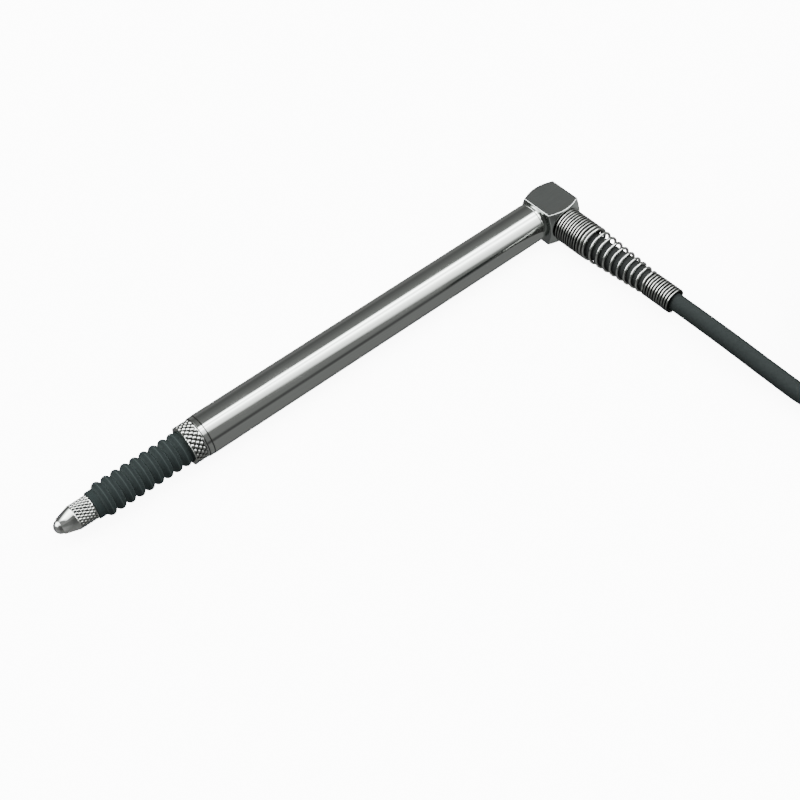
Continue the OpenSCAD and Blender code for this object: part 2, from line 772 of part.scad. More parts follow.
// Strap round the coil's section
module coil_tie() {
    low = coil_mid_r - coil_half_w - fit;
    high = coil_outer_r + fit;
    top = coil_top + fit;
    color("black") translate([coil_x, coil_y, 0]) rotate([0, 0, 90 - tie_angle / 2])
        rotate_extrude(angle = tie_angle, $fn = round_fn) difference() {
            polygon([[low - tie_t, floor_z], [high + tie_t, floor_z], [high + tie_t, top + tie_t],
                [low - tie_t, top + tie_t]]);
            polygon([[low, floor_z + tie_t], [high, floor_z + tie_t], [high, top], [low, top]]);
        }
}

// A body of revolution about the plug's axis, from points [radius, distance from the cable's end]
module turned_plug(points, fn = round_fn) {
    translate([plug_x, plug_y, plug_z]) rotate([-90, 0, 0]) rotate_extrude($fn = fn) polygon(points);
}

// Cable boot, barrel and front sleeve with the flange that keeps the nut
module plug_shell() {
    barrel = plug_boot_len;
    front = plug_boot_len + plug_barrel_len;
    hole_r = cable_r + fit;
    boot_r = cable_r + 0.9;
    inner_r = sleeve_r - plug_wall;
    c = 0.5;
    color("silver") turned_plug([[0, 0], [boot_r, 0], [boot_r + 0.5, 0.6], [plug_r * 0.72, barrel - 1],
        [plug_r * 0.72, barrel], [plug_r - c, barrel], [plug_r, barrel + c], [plug_r, front - c],
        [plug_r - c, front], [sleeve_r, front], [sleeve_r, front + flange_start],
        [flange_r, front + flange_start], [flange_r, front + flange_start + flange_w],
        [sleeve_r, front + flange_start + flange_w], [sleeve_r, front + sleeve_end],
        [inner_r, front + sleeve_end], [inner_r, front + 1], [0, front + 1]]);
}

module plug_insert() {
    front = plug_boot_len + plug_barrel_len;
    r = sleeve_r - plug_wall - fit;
    color("black") turned_plug([[0, front + 1 + fit], [r, front + 1 + fit], [r, front + 6.6],
        [0, front + 6.6]]);
}

module plug_pins() {
    start = plug_boot_len + plug_barrel_len + 6.6 + fit;
    color("gold") translate([plug_x, plug_y + start, plug_z]) rotate([-90, 0, 0])
        for (i = [0 : plug_pin_count - 1])
            rotate([0, 0, 360 * i / plug_pin_count]) translate([1.9, 0, 0]) union() {
                cylinder(r = 0.35, h = 3.6, $fn = 24);
                translate([0, 0, 3.6]) sphere(r = 0.35, $fn = 24);
            }
}

// Coupling nut: turns freely on the sleeve, behind its flange
module plug_nut() {
    front = plug_boot_len + plug_barrel_len;
    start = front + 0.15;
    end = start + nut_len;
    shoulder = front + flange_start - 0.15;
    r = nut_d / 2;
    rib = 0.22;
    c = 0.5;
    ribs = [
        for (i = [0 : 4 * nut_ribs - 1])
            let (a = 90 * i / nut_ribs, s = i % 4 < 2 ? r : r - rib) [s * cos(a), s * sin(a)]
    ];
    color("silver") difference() {
        intersection() {
            translate([plug_x, plug_y + start, plug_z]) rotate([-90, 0, 0])
                linear_extrude(height = nut_len) polygon(ribs);
            turned_plug([[0, start], [r - c, start], [r + 0.01, start + c], [r + 0.01, end - c - 1],
                [r - c, end - 1], [r - c, end], [0, end]]);
        }
        turned_plug([[0, start - overcut], [sleeve_r + run, start - overcut], [sleeve_r + run, shoulder],
            [flange_r + 0.2, shoulder], [flange_r + 0.2, end + overcut], [0, end + overcut]]);
    }
}

contact_ball();
contact_tip();
plunger();
stop_ring();
guide_pin();
scale_carrier();
glass_scale();
ball_cage();
guide_balls();
body_tube();
nose_bush();
knurled_collar();
gaiter();
stop_bumper();
guide_sleeve();
return_spring();
reading_head();
index_grating();
detector_chip();
lamp();
signal_board();
board_chips();
core_wires();
tube_seal();
elbow_block();
cable_gland();
strain_spring();
cable();
cable_coil();
cable_tail();
coil_tie();
plug_shell();
plug_insert();
plug_pins();
plug_nut();
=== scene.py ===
# Grating displacement sensor, dressed for its photograph.
# The probe's axis is X with the contact ball at -X, the cable leaves towards -Y, and Z is up.
# Sizes are in mm as in the part's source, and turned to metres where a mesh is made.
import math

import bmesh
import bpy
import numpy as np
from mathutils import Matrix, Vector


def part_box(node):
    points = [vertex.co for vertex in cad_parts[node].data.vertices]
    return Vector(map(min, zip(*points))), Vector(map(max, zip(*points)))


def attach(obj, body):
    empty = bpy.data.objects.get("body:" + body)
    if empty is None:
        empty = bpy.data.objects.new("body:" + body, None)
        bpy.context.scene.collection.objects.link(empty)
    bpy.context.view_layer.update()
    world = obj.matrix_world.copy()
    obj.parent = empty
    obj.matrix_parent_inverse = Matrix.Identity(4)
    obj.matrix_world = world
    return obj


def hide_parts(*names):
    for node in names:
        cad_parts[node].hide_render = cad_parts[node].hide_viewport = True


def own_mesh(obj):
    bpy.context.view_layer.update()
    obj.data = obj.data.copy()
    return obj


MM = 0.001
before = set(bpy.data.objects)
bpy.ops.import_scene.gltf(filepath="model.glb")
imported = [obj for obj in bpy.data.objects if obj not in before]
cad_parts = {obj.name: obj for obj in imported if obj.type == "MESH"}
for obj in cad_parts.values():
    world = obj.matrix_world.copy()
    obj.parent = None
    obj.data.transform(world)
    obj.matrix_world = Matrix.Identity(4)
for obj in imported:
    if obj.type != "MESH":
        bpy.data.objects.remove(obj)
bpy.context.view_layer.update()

# Places and sizes that the pieces share, in mm
SHANK_R = 4.0
SHANK_END = 39.5
BORE_R = 3.6
SPIGOT_R = 3.58
RING_FRONT = -40.5
COLLAR_FRONT = -43.4
GAITER_FRONT = -62.4
ELBOW_X = 44.5
ELBOW_FACE_Y = -5.1
CABLE_D = 3.45
FLOOR_Z = -4.0
STRAP_T = 0.5
STRAP_GAP = 0.02
LAY_Z = FLOOR_Z + STRAP_T + STRAP_GAP + CABLE_D / 2
COIL_R = 19.35
COIL_HALF_WIDTH = 1.5 * CABLE_D
COIL_X, COIL_Y = ELBOW_X + COIL_R + COIL_HALF_WIDTH + 6, -72.0
PLUG_X, PLUG_Y, PLUG_Z = COIL_X + 14.5, COIL_Y - 4, 15.72

# Points closer than MERGE become one and edges shorter than SPECK go, both in metres. An edge where the
# surface turns by more than SHARP degrees stays sharp.
MERGE, SPECK, SHARP = 3e-7, 1e-7, 35


# Helpers

def srgb(hex_colour):
    """A colour written as sRGB hex, turned to the linear values that the shaders want."""
    parts = [int(hex_colour[i:i + 2], 16) / 255 for i in (1, 3, 5)]
    return [c / 12.92 if c <= 0.04045 else ((c + 0.055) / 1.055) ** 2.4 for c in parts] + [1.0]


def add(tree, kind, sockets=None, **settings):
    """Adds one node with its settings. A socket takes a value, another node or one of its outputs."""
    node = tree.nodes.new(kind)
    for name, value in settings.items():
        setattr(node, name, value)
    for key, value in (sockets or {}).items():
        if isinstance(key, int):
            socket = node.inputs[key]
        else:
            socket = next(s for s in node.inputs if s.enabled and s.name == key)
        if isinstance(value, bpy.types.Node):
            value = next(s for s in value.outputs if s.enabled)
        if isinstance(value, bpy.types.NodeSocket):
            tree.links.new(value, socket)
        else:
            socket.default_value = value
    return node


# The camera

def place_camera():
    """The photograph's view: from above on the tip's side, a little rolled, on a longish lens."""
    data = bpy.data.cameras.new("photo_camera")
    data.sensor_width = 36
    data.lens = 58.8
    data.clip_start, data.clip_end = 0.005, 10
    camera = bpy.data.objects.new("photo_camera", data)
    bpy.context.scene.collection.objects.link(camera)
    place = Vector((-92.63, -141.16, 179.92))
    elevation, heading, roll = 50.302, 34.255, -6.527
    turn = (Matrix.Rotation(math.radians(-heading), 4, "Z")
            @ Matrix.Rotation(math.radians(90 - elevation), 4, "X")
            @ Matrix.Rotation(math.radians(roll), 4, "Z"))
    camera.matrix_world = Matrix.Translation(place * MM) @ turn
    bpy.context.scene.camera = camera


place_camera()


# The cable

def eased(share):
    """A share held between 0 and 1 that starts and stops gently."""
    share = min(1.0, max(0.0, share))
    return share * share * (3 - 2 * share)


def coil_points():
    """Turns of the coil, three side by side and four high. Each turn steps over or up in a stretch of
    its own angle, the top row first, so that the turns pass each other. Only the last turn still lacks
    its step outwards, so that its last half lies in the turn before it."""
    radii = [COIL_R + CABLE_D * side for side in (-1, 0, 1)]
    columns = [2, 1, 0, 0, 1, 2, 2, 1, 0, 0, 1]
    places = [6, 6, 5, 4, 4, 3, 2, 2, 1, 0]
    start, step, end = 248, 15, 3900
    first_move, moves_apart, move_length = 25, 35, 90
    points = []
    for angle in range(0, end + step, step):
        radius, height = radii[2], 0.0
        for turn, place in enumerate(places):
            share = eased((angle - 360 * turn - first_move - moves_apart * place) / move_length)
            radius += share * (radii[columns[turn + 1]] - radii[columns[turn]])
            height += share * (turn // 3 != (turn + 1) // 3)
        a = math.radians(start + angle)
        points.append((COIL_X + radius * math.cos(a), COIL_Y + radius * math.sin(a),
                       LAY_Z + CABLE_D * height))
    return points


def cable_points():
    """The cable's whole route in mm: out of the gland, down to the floor, round the coil, to the plug.
    A point of the lead is given from the elbow's axis with its share of the way down, and a point of
    the tail from the coil's centre."""
    lead = [(0, 12, 0), (0, 24, 0), (0, 34, 0), (0, 42, 0.03), (0, 50, 0.14), (0.05, 58, 0.36),
            (0.5, 66, 0.64), (2.8, 74, 0.9), (6.3, 80.5, 1), (11.4, 86.5, 1), (15.6, 89.8, 1),
            (19, 91.8, 1)]
    tail = [(-18.8, -13.1, 9.4), (-14.6, -17.5, 11), (-9.7, -20.6, 12), (-4.6, -21.7, 12.4),
            (0.5, -21.4, 13), (6.1, -20, 13.8), (10.8, -16.6, 14.7), (13.6, -11.9, 15.4),
            (14.5, -6.9, 15.72)]
    points = [(ELBOW_X, -2.6, 0.0)] + [(ELBOW_X + x, -y, LAY_Z * share) for x, y, share in lead]
    points += coil_points()
    points += [(COIL_X + x, COIL_Y + y, z) for x, y, z in tail]
    return points + [(PLUG_X, PLUG_Y + 1.5, PLUG_Z)]


def cable_curve():
    """The cable as a round curve with flat ends, along its route."""
    curve = bpy.data.curves.new("sensor_cable", "CURVE")
    curve.dimensions = "3D"
    curve.resolution_u = 3
    curve.bevel_depth = 1.0
    curve.bevel_resolution = 8
    curve.use_fill_caps = True
    spline = curve.splines.new("BEZIER")
    route = cable_points()
    spline.bezier_points.add(len(route) - 1)
    for point, place in zip(spline.bezier_points, route):
        point.co = Vector(place) * MM
        point.radius = CABLE_D / 2 * MM
        point.handle_left_type = point.handle_right_type = "AUTO"
    cable = bpy.data.objects.new("sensor_cable", curve)
    bpy.context.scene.collection.objects.link(cable)
    return cable


# Meshes made by Geometry Nodes

def node_tree(name, sizes):
    """An empty Geometry Nodes tree with its named inputs. Returns it and the node that gives them."""
    tree = bpy.data.node_groups.new(name, "GeometryNodeTree")
    tree.interface.new_socket("Geometry", in_out="INPUT", socket_type="NodeSocketGeometry")
    for label, kind in sizes + [("Material", "Material")]:
        tree.interface.new_socket(label, in_out="INPUT", socket_type="NodeSocket" + kind)
    tree.interface.new_socket("Geometry", in_out="OUTPUT", socket_type="NodeSocketGeometry")
    return tree, add(tree, "NodeGroupInput")


def close_tree(tree, given, mesh):
    """Ends a tree: the mesh's instances are made real, and it gets the material that was given."""
    whole = add(tree, "GeometryNodeRealizeInstances", {"Geometry": mesh})
    dressed = add(tree, "GeometryNodeSetMaterial", {"Geometry": whole,
                                                    "Material": given.outputs["Material"]})
    add(tree, "NodeGroupOutput", {"Geometry": dressed})
    return tree


def on_circle(tree, radius, angle):
    """The two coordinates of a point on a circle, from its radius and its angle."""
    parts = []
    for function in ("COSINE", "SINE"):
        part = add(tree, "ShaderNodeMath", {0: angle}, operation=function)
        parts.append(add(tree, "ShaderNodeMath", {0: radius, 1: part}, operation="MULTIPLY"))
    return parts


# How deep in a knurl's groove, and how far down a wire's flank, the mark of painted shade starts and is
# full
GROOVE_SHADE = (0.22, 0.62)
FLANK_SHADE = (0.22, 0.52)


def turned_tree():
    """Turns a line of points, x and radius, round the X axis. Where the line's attribute "knurl" is 1,
    two families of grooves that cross leave pillow shaped diamonds. "mark" keeps how deep a point lies
    in a groove, or what the line's own "mark" says, for the material. Deep in a groove it is painted
    shade, and the line's own mark is the painted shade or light that it gives."""
    tree, given = node_tree("turned_piece", [("Segments", "Int"), ("Diamonds", "Float"),
                                             ("Spacing", "Float"), ("Depth", "Float")])
    line, segments = given.outputs["Geometry"], given.outputs["Segments"]
    columns = add(tree, "FunctionNodeIntegerMath", {0: segments, 1: 1}, operation="ADD")
    count = add(tree, "GeometryNodeAttributeDomainSize", {"Geometry": line}, component="MESH")
    grid = add(tree, "GeometryNodeMeshGrid", {"Vertices X": count.outputs[0], "Vertices Y": columns})
    index = add(tree, "GeometryNodeInputIndex")
    row = add(tree, "FunctionNodeIntegerMath", {0: index, 1: columns}, operation="DIVIDE")
    column = add(tree, "FunctionNodeIntegerMath", {0: index, 1: columns}, operation="MODULO")
    share = add(tree, "ShaderNodeMath", {0: column, 1: segments}, operation="DIVIDE")
    position = add(tree, "GeometryNodeInputPosition")
    spot = add(tree, "GeometryNodeSampleIndex", {"Geometry": line, "Index": row, "Value": position},
               data_type="FLOAT_VECTOR")
    kept = {}
    for label in ("knurl", "mark"):
        own = add(tree, "GeometryNodeInputNamedAttribute", {"Name": label}, data_type="FLOAT")
        kept[label] = add(tree, "GeometryNodeSampleIndex", {"Geometry": line, "Index": row, "Value": own},
                          data_type="FLOAT")
    parts = add(tree, "ShaderNodeSeparateXYZ", {"Vector": spot})
    around = add(tree, "ShaderNodeMath", {0: share, 1: given.outputs["Diamonds"]}, operation="MULTIPLY")
    along = add(tree, "ShaderNodeMath", {0: parts.outputs["X"], 1: given.outputs["Spacing"]},
                operation="DIVIDE")
    rises = add(tree, "ShaderNodeMath", {0: around, 1: along}, operation="ADD")
    falls = add(tree, "ShaderNodeMath", {0: around, 1: along}, operation="SUBTRACT")
    swells = []
    for lead in (rises, falls):
        phase = add(tree, "ShaderNodeMath", {0: lead, 1: math.pi}, operation="MULTIPLY")
        wave = add(tree, "ShaderNodeMath", {0: phase}, operation="SINE")
        swells.append(add(tree, "ShaderNodeMath", {0: wave}, operation="ABSOLUTE"))
    both = add(tree, "ShaderNodeMath", {0: swells[0], 1: swells[1]}, operation="MULTIPLY")
    pillow = add(tree, "ShaderNodeMath", {0: both, 1: 0.6}, operation="POWER")
    dip = add(tree, "ShaderNodeMath", {0: 1.0, 1: pillow}, operation="SUBTRACT")
    groove = add(tree, "ShaderNodeMath", {0: dip, 1: kept["knurl"]}, operation="MULTIPLY")
    sunk = add(tree, "ShaderNodeMath", {0: groove, 1: given.outputs["Depth"]}, operation="MULTIPLY")
    radius = add(tree, "ShaderNodeMath", {0: parts.outputs["Y"], 1: sunk}, operation="SUBTRACT")
    angle = add(tree, "ShaderNodeMath", {0: share, 1: 2 * math.pi}, operation="MULTIPLY")
    y, z = on_circle(tree, radius, angle)
    place = add(tree, "ShaderNodeCombineXYZ", {"X": parts.outputs["X"], "Y": y, "Z": z})
    deep = add(tree, "ShaderNodeMapRange", {"Value": groove, "From Min": GROOVE_SHADE[0],
                                            "From Max": GROOVE_SHADE[1]})
    mark = add(tree, "ShaderNodeMath", {0: deep, 1: kept["mark"]}, operation="ADD")
    marked = add(tree, "GeometryNodeStoreNamedAttribute", {
        "Geometry": grid.outputs["Mesh"], "Name": "mark", "Value": mark}, data_type="FLOAT", domain="POINT")
    bent = add(tree, "GeometryNodeSetPosition", {"Geometry": marked, "Position": place})
    joined = add(tree, "GeometryNodeMergeByDistance", {"Geometry": bent, "Distance": MERGE})
    return close_tree(tree, given, joined)


# Stretches of a wound wire, and sides of its round section
STRETCHES = 5
WIRE_SIDES = 14


def wound_tree():
    """Winds a round wire about Z in stretches, each with its turns and its pitch. The radius tapers from
    the end of the second stretch to the start of the last. "mark" is painted shade, 1 deep between the
    turns of the first two and the last, which lie close."""
    sizes = [(f"{what} {i}", "Float") for i in range(1, STRETCHES + 1) for what in ("Turns", "Pitch")]
    tree, given = node_tree("wound_wire", sizes + [
        ("Wide radius", "Float"), ("Narrow radius", "Float"), ("Wire radius", "Float"),
        ("Steps per turn", "Float")])
    give = given.outputs
    line = add(tree, "GeometryNodeCurvePrimitiveLine", {"End": (0, 0, 1)})
    index = add(tree, "GeometryNodeInputIndex")
    turn = add(tree, "ShaderNodeMath", {0: index, 1: give["Steps per turn"]}, operation="DIVIDE")
    ends, height = [0.0], 0.0
    for i in range(1, STRETCHES + 1):
        turns, pitch = give[f"Turns {i}"], give[f"Pitch {i}"]
        rise = add(tree, "ShaderNodeMath", {0: turns, 1: pitch}, operation="MULTIPLY")
        ends.append(add(tree, "ShaderNodeMath", {0: ends[-1], 1: turns}, operation="ADD"))
        climb = add(tree, "ShaderNodeMapRange", {"Value": turn, "From Min": ends[-2],
                                                 "From Max": ends[-1], "To Min": 0.0, "To Max": rise})
        height = add(tree, "ShaderNodeMath", {0: height, 1: climb}, operation="ADD")
    steps = add(tree, "ShaderNodeMath", {0: ends[-1], 1: give["Steps per turn"]}, operation="MULTIPLY")
    count = add(tree, "FunctionNodeFloatToInt", {0: steps}, rounding_mode="CEILING")
    wire = add(tree, "GeometryNodeResampleCurve", {"Curve": line, "Count": count})
    radius = add(tree, "ShaderNodeMapRange", {
        "Value": turn, "From Min": ends[2], "From Max": ends[-2], "To Min": give["Wide radius"],
        "To Max": give["Narrow radius"]})
    angle = add(tree, "ShaderNodeMath", {0: turn, 1: 2 * math.pi}, operation="MULTIPLY")
    x, y = on_circle(tree, radius, angle)
    place = add(tree, "ShaderNodeCombineXYZ", {"X": x, "Y": y, "Z": height})
    bent = add(tree, "GeometryNodeSetPosition", {"Geometry": wire, "Position": place})
    section = add(tree, "GeometryNodeCurvePrimitiveCircle", {"Resolution": WIRE_SIDES,
                                                             "Radius": give["Wire radius"]})
    tube = add(tree, "GeometryNodeCurveToMesh", {
        "Curve": bent, "Profile Curve": section.outputs["Curve"], "Fill Caps": True})
    facing = add(tree, "ShaderNodeSeparateXYZ", {"Vector": add(tree, "GeometryNodeInputNormal")})
    sideways = add(tree, "ShaderNodeMath", {0: facing.outputs["Z"]}, operation="ABSOLUTE")
    flank = add(tree, "ShaderNodeMapRange", {"Value": sideways, "From Min": FLANK_SHADE[0],
                                             "From Max": FLANK_SHADE[1]})
    along = add(tree, "ShaderNodeMath", {0: turn, 1: float(WIRE_SIDES)}, operation="DIVIDE")
    opens = add(tree, "ShaderNodeMapRange", {"Value": along, "From Min": ends[1], "From Max": ends[2],
                                             "To Min": 1.0, "To Max": 0.0})
    shuts = add(tree, "ShaderNodeMath", {0: along, 1: ends[-2]}, operation="GREATER_THAN")
    close = add(tree, "ShaderNodeMath", {0: opens, 1: shuts}, operation="MAXIMUM")
    mark = add(tree, "ShaderNodeMath", {0: flank, 1: close}, operation="MULTIPLY")
    marked = add(tree, "GeometryNodeStoreNamedAttribute", {
        "Geometry": tube, "Name": "mark", "Value": mark}, data_type="FLOAT", domain="POINT")
    return close_tree(tree, given, marked)


def grown(name, tree, values, start=None, placed=None, sharp=SHARP):
    """A plain mesh object that the tree makes, with its outside turned out and its edges kept sharp."""
    seed = bpy.data.objects.new(name + "_seed", start or bpy.data.meshes.new(name + "_seed"))
    bpy.context.scene.collection.objects.link(seed)
    step = seed.modifiers.new("shape", "NODES")
    step.node_group = tree
    for item in tree.interface.items_tree:
        if item.in_out == "INPUT" and item.name in values:
            step[item.identifier] = values[item.name]
    graph = bpy.context.evaluated_depsgraph_get()
    mesh = bpy.data.meshes.new_from_object(seed.evaluated_get(graph), preserve_all_data_layers=True,
                                           depsgraph=graph)
    bpy.data.objects.remove(seed)
    if placed:
        mesh.transform(placed)
    return laid(name, mesh, sharp)


def laid(name, mesh, sharp=SHARP):
    """The mesh as a piece at the origin, with its normals outwards and smooth between sharp edges."""
    shell = bmesh.new()
    shell.from_mesh(mesh)
    bmesh.ops.remove_doubles(shell, verts=shell.verts, dist=MERGE)
    bmesh.ops.dissolve_degenerate(shell, edges=shell.edges, dist=SPECK)
    bmesh.ops.recalc_face_normals(shell, faces=shell.faces)
    shell.to_mesh(mesh)
    shell.free()
    mesh.name = name
    mesh.shade_smooth()
    mesh.set_sharp_from_angle(angle=math.radians(sharp))
    piece = bpy.data.objects.new(name, mesh)
    bpy.context.scene.collection.objects.link(piece)
    return piece


TURNED, WOUND = turned_tree(), wound_tree()


def turned(name, line, material, segments=192, diamonds=0, spacing=1.0, depth=0.0, sharp=SHARP):
    """A turned piece. A point of the line is x and radius in mm, then how far it is knurled, then its
    mark. The last two are 0 where the point doesn't give them."""
    start = bpy.data.meshes.new(name + "_line")
    start.from_pydata([(p[0] * MM, p[1] * MM, 0) for p in line],
                      [(i, i + 1) for i in range(len(line) - 1)], [])
    for place, label in ((2, "knurl"), (3, "mark")):
        own = start.attributes.new(label, "FLOAT", "POINT")
        own.data.foreach_set("value", [float(p[place]) if len(p) > place else 0.0 for p in line])
    values = {"Segments": segments, "Diamonds": float(diamonds), "Spacing": spacing * MM,
              "Depth": depth * MM, "Material": material}
    return grown(name, TURNED, values, start=start, sharp=sharp)


def wound(name, stretches, wide, narrow, wire, material, placed, steps=48):
    """A spring in mm, wound from stretches of turns and pitch. Wide, narrow and wire are radii."""
    values = {"Wide radius": wide * MM, "Narrow radius": narrow * MM, "Wire radius": wire * MM,
              "Steps per turn": float(steps), "Material": material}
    for i, (turns, pitch) in enumerate(stretches, 1):
        values[f"Turns {i}"], values[f"Pitch {i}"] = float(turns), pitch * MM
    return grown(name, WOUND, values, placed=placed)


def lofted(name, rings, material):
    """A closed skin over rings of points in mm that all have the same count. A ring may be one spot."""
    count = len(rings[0])
    mesh = bpy.data.meshes.new(name)
    faces = [(k * count + i, k * count + (i + 1) % count,
              (k + 1) * count + (i + 1) % count, (k + 1) * count + i)
             for k in range(len(rings) - 1) for i in range(count)]
    mesh.from_pydata((np.concatenate(rings) * MM).tolist(), [], faces)
    mesh.materials.append(material)
    return laid(name, mesh)


# Materials. Every pattern lies in the piece's own coordinates, and its grain is in cycles per mm.

def surface(name, colours, rough, grain, relief=0.0, patch=0.12, marked=None, values=None):
    """A material with a fine grain in its colour and relief and broad patches in its gloss. Where the
    piece's "mark" is 1 it takes the marked colour and roughness, which paint shade on the steel and
    light on the gaiter."""
    made = bpy.data.materials.new(name)
    made.use_nodes = True
    tree = made.node_tree
    tree.nodes.clear()
    place = add(tree, "ShaderNodeTexCoord").outputs["Object"]
    stretched = add(tree, "ShaderNodeMapping", {"Vector": place, "Scale": [g / MM for g in grain]})
    fine = add(tree, "ShaderNodeTexNoise", {"Vector": stretched, "Scale": 1.0, "Detail": 4.0,
                                            "Roughness": 0.6})
    broad = add(tree, "ShaderNodeTexNoise", {"Vector": place, "Scale": patch / MM, "Detail": 3.0})
    shade = add(tree, "ShaderNodeMapRange", {"Value": fine, "From Min": 0.3, "From Max": 0.7})
    colour = add(tree, "ShaderNodeMix", {"Factor": shade, "A": srgb(colours[0]), "B": srgb(colours[1])},
                 data_type="RGBA")
    gloss = add(tree, "ShaderNodeMapRange", {"Value": broad, "From Min": 0.35, "From Max": 0.65,
                                             "To Min": rough[0], "To Max": rough[1]})
    if marked:
        own = add(tree, "ShaderNodeAttribute", attribute_name="mark").outputs["Fac"]
        colour = add(tree, "ShaderNodeMix", {"Factor": own, "A": colour, "B": srgb(marked[0])},
                     data_type="RGBA")
        gloss = add(tree, "ShaderNodeMix", {"Factor": own, "A": gloss, "B": marked[1]}, data_type="FLOAT")
    shader = add(tree, "ShaderNodeBsdfPrincipled", {"Base Color": colour, "Roughness": gloss})
    for label, value in (values or {}).items():
        shader.inputs[label].default_value = value
    if relief:
        bump = add(tree, "ShaderNodeBump", {"Height": fine, "Distance": relief * MM, "Strength": 1.0})
        tree.links.new(bump.outputs[0], shader.inputs["Normal"])
    add(tree, "ShaderNodeOutputMaterial", {"Surface": shader})
    return made


METAL = {"Metallic": 1.0}
# Ground, then polished along the shank: fine lengthwise streaks in an almost neutral grey, and painted
# shade on marked edges
GROUND = surface("centreless ground stainless steel", ("#C6C9C6", "#D0D3D0"), (0.06, 0.12),
                 (0.04, 4.0, 4.0), relief=0.0006, marked=("#1C1E1D", 0.5), values=METAL)
# Rolled diamonds: bright flanks, and painted shade dark in the grooves
KNURLED = surface("rolled diamond knurl in stainless steel", ("#CDD0CD", "#DFE1DF"), (0.04, 0.08),
                  (3.0, 3.0, 3.0), relief=0.0005, marked=("#1C1D1C", 0.4), values=METAL)
# Hardened steel that a shop turns and laps: sharp reflections, faint rings round the axis
LAPPED = surface("hardened steel, turned and lapped", ("#C9CBC9", "#D9DBD9"), (0.05, 0.09),
                 (9.0, 0.4, 0.4), relief=0.0003, values=METAL)
# Milled flats with a satin sheen and fine parallel tool lines
MILLED = surface("milled stainless steel, satin", ("#B9BDBB", "#BFC3C1"), (0.14, 0.18),
                 (0.3, 1.5, 1.5), relief=0.0001, values=METAL)
# Wire drawn through a die: bright with a fine grain, and painted shade dark between its close turns
DRAWN = surface("drawn stainless spring wire", ("#B4B6B4", "#C2C4C1"), (0.08, 0.14),
                (2.0, 2.0, 2.0), relief=0.0003, marked=("#101110", 0.4), values=METAL)
# Moulded rubber: matte grey with a green cast, with a painted highlight on the crests and painted light in
# the shaded valleys
GAITER = surface("moulded nitrile rubber", ("#1B2020", "#1F2525"), (0.75, 0.9),
                 (2.5, 2.5, 2.5), relief=0.002, marked=("#343A3A", 0.7),
                 values={"Specular IOR Level": 0.08})
# Rubber from a polished mould: near black, a little less matte than the gaiter
SEAL = surface("moulded seal rubber", ("#1B1D1D", "#212323"), (0.65, 0.8),
               (3.0, 3.0, 3.0), relief=0.002, values={"Specular IOR Level": 0.1})
# An extruded jacket: even matte grey with a soft mottle
JACKET = surface("extruded polyurethane jacket", ("#1C2020", "#202424"), (0.7, 0.8),
                 (1.6, 1.6, 1.6), relief=0.002, patch=0.05, values={"Specular IOR Level": 0.1})
# A strap of woven tape: matte black with a pale dust on its ribs
TAPE = surface("woven polyester tape", ("#1C1D1E", "#2B2C2E"), (0.8, 0.95),
               (6.0, 6.0, 6.0), relief=0.02, values={"Sheen Weight": 0.3})
# Brass from the lathe: warm yellow, fine rings round the axis
BRASS = surface("turned brass", ("#B9975A", "#C9A866"), (0.2, 0.3),
                (6.0, 0.5, 0.5), relief=0.001, values=METAL)
# Glass ground flat for optics: clear with a cold green cast, and mirror smooth
GLASS = surface("ground optical glass", ("#D8E6E4", "#E4F0EE"), (0.03, 0.08),
                (1.0, 1.0, 1.0), values={"Transmission Weight": 0.9})
# Aluminium with a dyed oxide skin: black, and still a little metal in its sheen
ANODISED = surface("black anodised aluminium", ("#1E2022", "#292B2E"), (0.35, 0.45),
                   (5.0, 1.0, 1.0), relief=0.001, values={"Metallic": 0.6})
# Filled epoxy from a mould: charcoal with a fine matte grain
CHIP = surface("moulded chip case", ("#17181A", "#222427"), (0.4, 0.55), (6.0, 6.0, 6.0), relief=0.002)
# Clear plastic from a polished mould: glassy, with a little milk in it
LAMP = surface("clear moulded lamp", ("#DDE0D8", "#EDEFE8"), (0.05, 0.12),
               (1.5, 1.5, 1.5), values={"Transmission Weight": 0.6})
# Pressed glass cloth under green lacquer: half gloss, with the cloth's grain showing through
BOARD = surface("green glass laminate", ("#1E5B3A", "#2A6D47"), (0.35, 0.5),
                (1.0, 6.0, 6.0), relief=0.001)
# Plastic extruded over a wire: an even red, faintly lined along it
WIRE = surface("extruded wire insulation", ("#8E2A22", "#A5362B"), (0.4, 0.5),
               (1.0, 4.0, 4.0), relief=0.001)
# Nickel over machined brass: a warm silver, satin, with broad soft patches
NICKEL = surface("satin nickel plated brass", ("#BDBBB4", "#CBC9C2"), (0.18, 0.3),
                 (2.0, 0.8, 2.0), relief=0.001, values=METAL)
# Glass filled plastic from a mould: flat black with a fine grain
INSERT = surface("moulded connector insert", ("#1C1D1E", "#262829"), (0.45, 0.6),
                 (3.0, 3.0, 3.0), relief=0.002)
# A thin plating of gold over a turned pin: rich yellow with a soft shine
GOLD = surface("gold plated contact", ("#D8AE55", "#E5C06A"), (0.15, 0.25),
               (2.0, 6.0, 2.0), values=METAL)

# The solids that are shown as they are, by their finish
DRESSED = {
    LAPPED: ["contact_ball", "plunger", "stop_ring", "guide_pin", "guide_balls"],
    MILLED: ["cable_gland"],
    BRASS: ["ball_cage", "guide_sleeve"],
    ANODISED: ["scale_carrier", "reading_head"],
    GLASS: ["glass_scale", "index_grating"],
    CHIP: ["detector_chip", "board_chips"],
    LAMP: ["lamp"],
    BOARD: ["signal_board"],
    WIRE: ["core_wires"],
    SEAL: ["tube_seal", "stop_bumper"],
    NICKEL: ["plug_shell", "plug_nut"],
    INSERT: ["plug_insert"],
    GOLD: ["plug_pins"],
}
for finish, names in DRESSED.items():
    for name in names:
        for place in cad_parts[name].material_slots:
            place.material = finish


# Pieces of the probe, from the nose to the plug

def settle(piece, body, slot, *nodes):
    """The piece rides on its body and stands for the nodes, which are hidden. The slot is not used."""
    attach(piece, body)
    if nodes:
        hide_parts(*nodes)
    return piece


